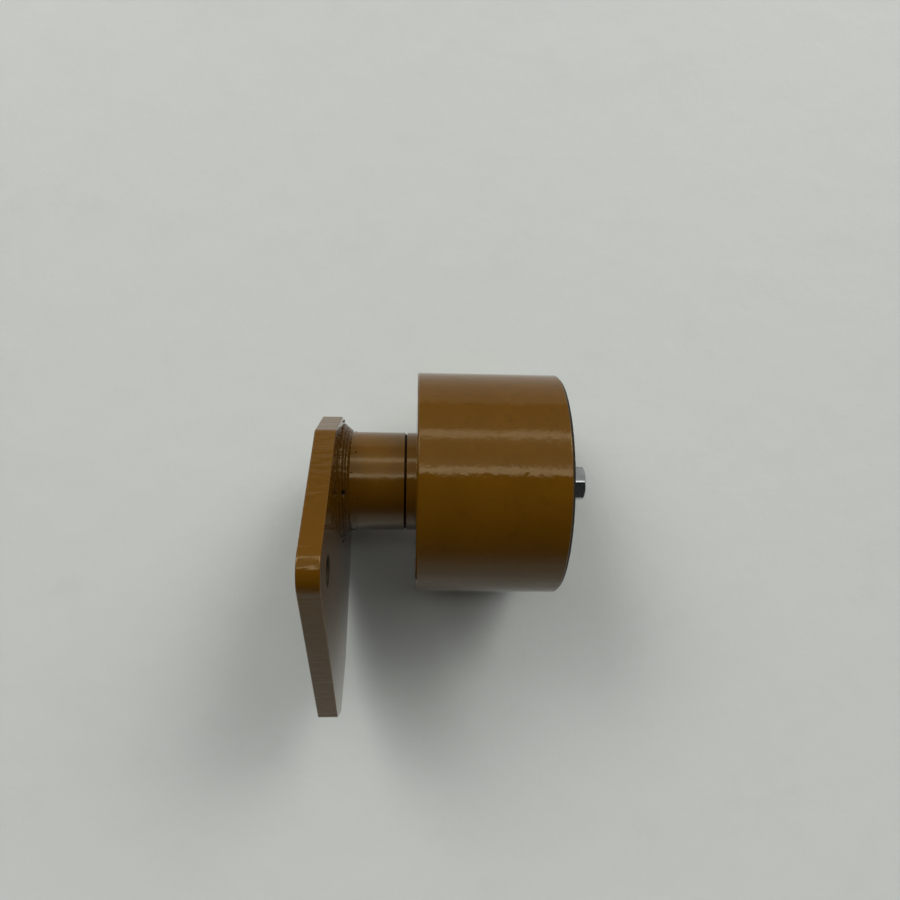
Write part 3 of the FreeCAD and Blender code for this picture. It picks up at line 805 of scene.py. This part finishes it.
def make_cover(material):
    """The end cover's outside, rounded at its steps; its hollow follows the CAD node."""
    seat, boss = span_of("end_cover")
    face = span_of("cover_snap_ring")[0]
    dome = face + 9 * MM
    pocket = seat + 12 * MM
    return lathe("cover", [
        (PLUG_SHANK_R, pocket, 0), (14 * MM, pocket, 0.5 * MM), (14 * MM, seat + 9 * MM, 0.5 * MM),
        (23 * MM, seat + 6 * MM, 1 * MM), (23 * MM, seat, 0.5 * MM), (COVER_R, seat, 0.5 * MM),
        (COVER_R, face, 0.5 * MM), (27 * MM, face, 2 * MM), (21 * MM, face + 6 * MM, 2.5 * MM),
        (14 * MM, dome, 2 * MM), (11 * MM, boss, 0.6 * MM), (PLUG_SHANK_R, boss, 0.3 * MM)],
        "roller", material, ("end_cover",))


# ---------------------------------------------------------------- stage, light and camera

PAPER = (0.56, 0.583, 0.557)
SCUFF = (0.46, 0.48, 0.458)
FLOOR_REACH = 40.0


def make_floor():
    """Pale paper floor that the roller lies on."""
    shader = Shader("floor_paper", PAPER, 0.55)
    scuffs = shader.remap(shader.noise(60 * MM, 6, 0.7), 0.5, 0.8)
    colour = shader.mix(shader.math("MULTIPLY", scuffs, 0.25), PAPER, SCUFF)
    shader.height(shader.noise(30 * MM, 4, 0.6), 0.5 * MM)
    material = shader.finish(colour=colour)
    work = bmesh.new()
    bmesh.ops.create_grid(work, x_segments=1, y_segments=1, size=FLOOR_REACH)
    mesh = bpy.data.meshes.new("floor")
    work.to_mesh(mesh)
    work.free()
    floor = bpy.data.objects.new("floor", mesh)
    floor.location.z = FLOOR_Z
    mesh.materials.append(material)
    bpy.context.collection.objects.link(floor)


ROLLER_MIDDLE = Vector((0, (SHELL_FACE + SHELL_END) / 2, 0))

# The room's brightness by tilt in degrees from overhead towards -X. The mirror is the narrow band of directions
# that the tread's gloss shows to the camera, the sides are all that lies to the left and right of that band.
# The first three levels of each are the weak light from +X, which keeps that side readable.
MIRROR_LEVELS = [(-90, 0.45), (-72, 0.10), (-55, 0.012), (9, 0.02), (12, 3.1), (15.5, 3.1), (19, 0.9),
                 (26, 0.62), (33, 0.56), (41, 0.62), (46, 0.9), (50, 2.7), (53.5, 2.5), (58, 0.6), (68, 0.42),
                 (90, 0.25)]
SIDE_LEVELS = [(-90, 0.60), (-65, 0.35), (-40, 0.03), (9, 0.03), (15, 0.9), (22, 1.5), (33, 4.2), (42, 12.2),
               (52, 12.6), (58, 3.5), (70, 0.9), (90, 0.4)]
# sines of the lean from the band's middle: where the sides begin, and where they fade to their rest
BAND_EDGES = (0.22, 0.36)
SIDE_FADE = (0.42, 0.76)
SIDE_REST = 0.08
LIGHT_COLOUR = (1, 1, 0.985, 1)
BACKDROP = (0.55, 0.56, 0.54, 1)


def level_ramp(tree, tilt, levels):
    """Brightness as a piecewise linear function of the tilt."""
    top = max(level for _, level in levels)
    ramp = tree.nodes.new("ShaderNodeValToRGB")
    stops = ramp.color_ramp.elements
    while len(stops) < len(levels):
        stops.new(0.5)
    for stop, (degrees, level) in zip(stops, levels):
        stop.position = (degrees + 90) / 180
        share = level / top
        stop.color = (share, share, share, 1)
    tree.links.new(tilt, ramp.inputs["Fac"])
    scaled = tree.nodes.new("ShaderNodeMath")
    scaled.operation = "MULTIPLY"
    scaled.inputs[1].default_value = top
    tree.links.new(ramp.outputs["Color"], scaled.inputs[0])
    return scaled.outputs["Value"]


def make_light():
    """One soft room: a bright -X wall to both sides, and a dim window with two bright edges in the mirror."""
    world = bpy.data.worlds.new("room")
    world.use_nodes = True
    tree = world.node_tree
    tree.nodes.clear()

    def add(kind, **settings):
        node = tree.nodes.new(kind)
        for name, setting in settings.items():
            setattr(node, name, setting)
        return node

    def spread(value, low, high, smooth=False):
        node = add("ShaderNodeMapRange", clamp=True)
        if smooth:
            node.interpolation_type = "SMOOTHSTEP"
        node.inputs["From Min"].default_value = low
        node.inputs["From Max"].default_value = high
        tree.links.new(value, node.inputs["Value"])
        return node.outputs["Result"]

    direction = add("ShaderNodeSeparateXYZ")
    tree.links.new(add("ShaderNodeTexCoord").outputs["Generated"], direction.inputs["Vector"])
    leftward = add("ShaderNodeMath", operation="MULTIPLY")
    leftward.inputs[1].default_value = -1
    tree.links.new(direction.outputs["X"], leftward.inputs[0])
    angle = add("ShaderNodeMath", operation="ARCTAN2")
    tree.links.new(leftward.outputs["Value"], angle.inputs[0])
    tree.links.new(direction.outputs["Z"], angle.inputs[1])
    tilt = spread(angle.outputs["Value"], -math.pi / 2, math.pi / 2)
    lean = add("ShaderNodeMath", operation="ABSOLUTE")
    tree.links.new(direction.outputs["Y"], lean.inputs[0])
    aside = spread(lean.outputs["Value"], *BAND_EDGES, smooth=True)
    fade = add("ShaderNodeMapRange", clamp=True)
    for name, number in (("From Min", SIDE_FADE[0]), ("From Max", SIDE_FADE[1]), ("To Min", 1.0),
                         ("To Max", SIDE_REST)):
        fade.inputs[name].default_value = number
    tree.links.new(lean.outputs["Value"], fade.inputs["Value"])
    sides = add("ShaderNodeMath", operation="MULTIPLY")
    tree.links.new(level_ramp(tree, tilt, SIDE_LEVELS), sides.inputs[0])
    tree.links.new(fade.outputs["Result"], sides.inputs[1])
    blend = add("ShaderNodeMix", data_type="FLOAT")
    tree.links.new(aside, blend.inputs["Factor"])
    tree.links.new(level_ramp(tree, tilt, MIRROR_LEVELS), blend.inputs["A"])
    tree.links.new(sides.outputs["Value"], blend.inputs["B"])
    lit = add("ShaderNodeBackground")
    lit.inputs["Color"].default_value = LIGHT_COLOUR
    tree.links.new(blend.outputs["Result"], lit.inputs["Strength"])
    seen = add("ShaderNodeBackground")
    seen.inputs["Color"].default_value = BACKDROP
    choice = add("ShaderNodeMixShader")
    tree.links.new(add("ShaderNodeLightPath").outputs["Is Camera Ray"], choice.inputs["Fac"])
    tree.links.new(lit.outputs["Background"], choice.inputs[1])
    tree.links.new(seen.outputs["Background"], choice.inputs[2])
    tree.links.new(choice.outputs["Shader"], add("ShaderNodeOutputWorld").inputs["Surface"])
    bpy.context.scene.world = world
    bpy.context.scene.view_settings.view_transform = "Standard"


# Where the photographer stood, in tread radii from the middle of the roller: photograph-right is +Y, down is +X.
CAMERA_OFFSET = Vector((-0.294, -0.685, 6.946))
CAMERA_YAW = 2.93
CAMERA_ROLL = -0.84
CAMERA_LENS = 30
CAMERA_SENSOR = 36
CAMERA_RANGE = (0.01, 200)


def make_camera():
    """Camera looking down on the roller; its picture's right is close to +Y."""
    lens = bpy.data.cameras.new("camera")
    lens.lens = CAMERA_LENS
    lens.sensor_width = CAMERA_SENSOR
    camera = bpy.data.objects.new("camera", lens)
    level = Matrix(((0, -1, 0), (1, 0, 0), (0, 0, 1)))
    yaw = Matrix.Rotation(math.radians(CAMERA_YAW), 3, "Y")
    roll = Matrix.Rotation(math.radians(CAMERA_ROLL), 3, "Z")
    camera.matrix_world = Matrix.Translation(ROLLER_MIDDLE + CAMERA_OFFSET * TREAD_R) @ (
        level @ (roll @ yaw).transposed()).to_4x4()
    lens.clip_start, lens.clip_end = CAMERA_RANGE
    bpy.context.collection.objects.link(camera)
    bpy.context.scene.camera = camera


# ---------------------------------------------------------------- everything

def paint_cad_nodes(materials):
    """Give the CAD nodes that stay in view or inside their finished materials, by record slot."""
    for entry in frame["record"]["subparts"]:
        node = frame["nodes"][entry["node"]]
        material = materials[entry["material_slot"]]
        for slot_of_node in node.material_slots:
            slot_of_node.material = material


paint = enamel("enamel")
# each mask below marks places painted dark as shade
plate_paint = enamel("enamel_plate", peel=0.45, painted_shade=bolt_hole_shade_mask, blur=0.06)
collar_paint = enamel("enamel_collar", painted_shade=seam_shade_mask, gloss=0.46, blur=0.17)
shell_paint = enamel("enamel_tread", painted_shade=rim_and_seam_shade_mask)
# the weld and its spatter take the darker ochre as painted shade for the weld's corner between plate and collar
weld_paint = enamel("enamel_weld", peel=0.6, painted_shade=weld_crease_and_pit_shade_mask, tint=OCHRE_DARK, gloss=0.2, blur=0.22)
materials = {
    "ochre_paint": paint,
    "cover_paint": paint,
    "painted_weld": weld_paint,
    "axle_steel": bare_steel("turned_axle_steel", (0.45, 0.44, 0.43), 0.32, turning=(1, 6, 1)),
    # seal iron made near black, so that the seam and the filler in it show painted shade
    "seal_iron": bare_steel("seal_iron_and_seam_shade", (0.016, 0.009, 0.007), 0.6),
    "black_rubber": rubber("nitrile"),
    "bearing_steel": bare_steel("ground_bearing_steel", (0.60, 0.60, 0.61), 0.18, 0.4 * MM),
    "polished_ball": bare_steel("polished_ball_steel", (0.70, 0.70, 0.71), 0.1, 2 * MM, depth=0.001 * MM),
    "cage_brass": bare_steel("machined_brass", (0.65, 0.45, 0.18), 0.3),
    "spring_steel": bare_steel("black_spring_steel", (0.045, 0.043, 0.042), 0.38),
    "zinc_steel": bare_steel("zinc_plate", (0.46, 0.47, 0.47), 0.2, 1.2 * MM),
    "copper_washer": bare_steel("annealed_copper", (0.60, 0.27, 0.14), 0.35),
}
paint_cad_nodes(materials)
make_plate(plate_paint)
make_weld(weld_paint)
make_spatter(weld_paint)
make_collar(collar_paint)
make_seam_shade_fill(materials["seal_iron"])
make_shell(shell_paint)
make_cover(paint)
make_plug(materials["zinc_steel"])
make_floor()
make_light()
make_camera()
